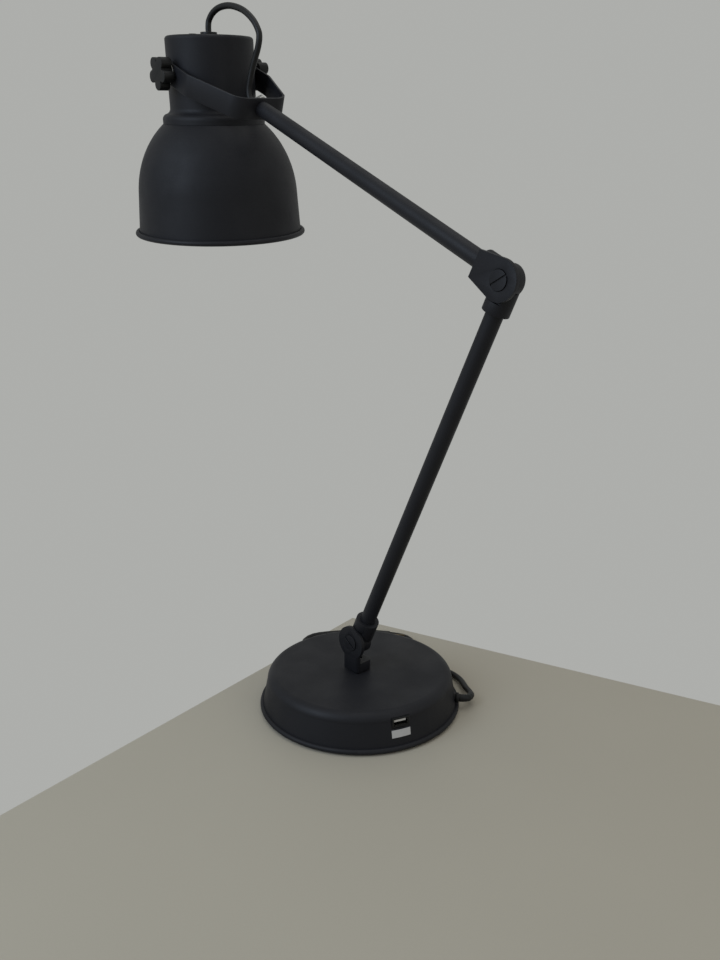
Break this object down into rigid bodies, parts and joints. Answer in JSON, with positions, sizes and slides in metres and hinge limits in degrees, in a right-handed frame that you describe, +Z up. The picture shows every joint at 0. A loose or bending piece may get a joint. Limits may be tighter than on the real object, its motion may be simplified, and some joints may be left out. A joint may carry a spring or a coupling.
{
  "type": "desk work lamp",
  "caption": "Jointed desk work lamp: weighted round base with a power outlet, two tube arms on clamp hinges, and a bell shade on a strap fork with star knobs.",
  "frame": {"origin": "centre of the underside of the base, on the surface it stands on", "axes": "+Z up; the arms lie in the XZ plane, with the elbow towards +X and the shade towards -X; the arm hinges turn about Y"},
  "size_m": [0.4629, 0.2147, 0.6069],
  "materials": {
    "coat": "matte powder coat",
    "black_plastic": "moulded",
    "cord_sheath": "smooth sheath",
    "steel": "zinc plated",
    "plate_steel": "painted sheet",
    "brass": "plain",
    "iron": "as cast",
    "foam": "felted foam",
    "board": "circuit board",
    "winding": "taped winding",
    "white_plastic": "moulded",
    "label": "bare foil",
    "opal_glass": "opal"
  },
  "bodies": {
    "base": {"base_shell": "coat", "base_pad": "foam", "bottom_plate": "plate_steel", "ballast_weight": "iron", "weld_studs": "steel", "bottom_screws": "steel", "usb_bezel": "black_plastic", "usb_socket": "steel", "usb_tongue": "white_plastic", "power_board": "board", "board_standoffs": "brass", "transformer": "winding", "rating_label": "label", "cord_gland": "black_plastic", "swivel_washer": "black_plastic", "mains_cord": "cord_sheath", "cord_hank": "cord_sheath", "cord_tie": "black_plastic", "cord_tail": "cord_sheath", "plug_body": "black_plastic", "plug_blades": "brass"},
    "swivel": {"base_fitting": "coat", "hollow_bolt": "steel", "lock_nut": "steel", "base_hinge_screw": "coat", "base_hinge_nut": "steel", "base_hinge_washer": "black_plastic"},
    "lower_arm": {"lower_arm_foot": "coat", "lower_tube": "coat", "lower_arm_head": "coat", "lower_cable": "cord_sheath", "lower_grub_screws": "steel", "elbow_screw": "coat", "elbow_nut": "steel", "elbow_washer": "black_plastic"},
    "upper_arm": {"upper_arm_foot": "coat", "upper_tube": "coat", "upper_cable": "cord_sheath", "upper_grub_screw": "steel", "tube_end_insert": "steel", "fork_nipple": "steel", "fork_nut": "steel"},
    "fork": {"fork_strap": "coat", "knob_washers": "steel", "head_cord": "cord_sheath"},
    "shade": {"shade_neck": "coat", "shade_bell": "coat", "lampholder": "black_plastic", "lampholder_nipple": "steel", "cord_grip": "black_plastic", "bulb_cap": "steel", "bulb_globe": "opal_glass", "switch_housing": "black_plastic", "switch_ring": "steel", "pivot_studs": "steel", "pivot_nuts": "steel", "pivot_spacers": "black_plastic"},
    "left_knob": {"left_knob": "black_plastic"},
    "right_knob": {"right_knob": "black_plastic"},
    "switch_button": {"switch_button": "black_plastic"}
  },
  "joints": [
    {"name": "base_swivel", "type": "hinge", "parent": "base", "child": "swivel", "pos_m": [0, 0, 0.0346], "axis": [0, 0, 1], "range_deg": [-165, 165]},
    {"name": "base_tilt", "type": "hinge", "parent": "swivel", "child": "lower_arm", "pos_m": [0, 0, 0.0613], "axis": [0, 1, 0], "range_deg": [-54.8, 45.2]},
    {"name": "elbow", "type": "hinge", "parent": "lower_arm", "child": "upper_arm", "pos_m": [0.14534, 0, 0.37584], "axis": [0, 1, 0], "range_deg": [-20, 77.6]},
    {"name": "fork_swivel", "type": "hinge", "parent": "upper_arm", "child": "fork", "pos_m": [-0.20242, 0, 0.55457], "axis": [-0.8894, 0, 0.4571], "range_deg": [-40, 55]},
    {"name": "shade_tilt", "type": "hinge", "parent": "fork", "child": "shade", "pos_m": [-0.20242, 0, 0.55457], "axis": [0.0605, 0.9912, 0.1176], "range_deg": [-12, 110], "deforming": ["head_cord"]},
    {"name": "left_knob_turn", "type": "hinge", "parent": "shade", "child": "left_knob", "pos_m": [-0.20242, 0, 0.55457], "axis": [0.0605, 0.9912, 0.1176], "range_deg": [-180, 180]},
    {"name": "right_knob_turn", "type": "hinge", "parent": "shade", "child": "right_knob", "pos_m": [-0.20242, 0, 0.55457], "axis": [0.0605, 0.9912, 0.1176], "range_deg": [-180, 180]},
    {"name": "switch_press", "type": "slide", "parent": "shade", "child": "switch_button", "axis": [-0.1354, 0.1249, -0.9829], "range_m": [0, 0.0025], "stiffness_N_per_m": 600, "springref_m": -0.001}
  ]
}
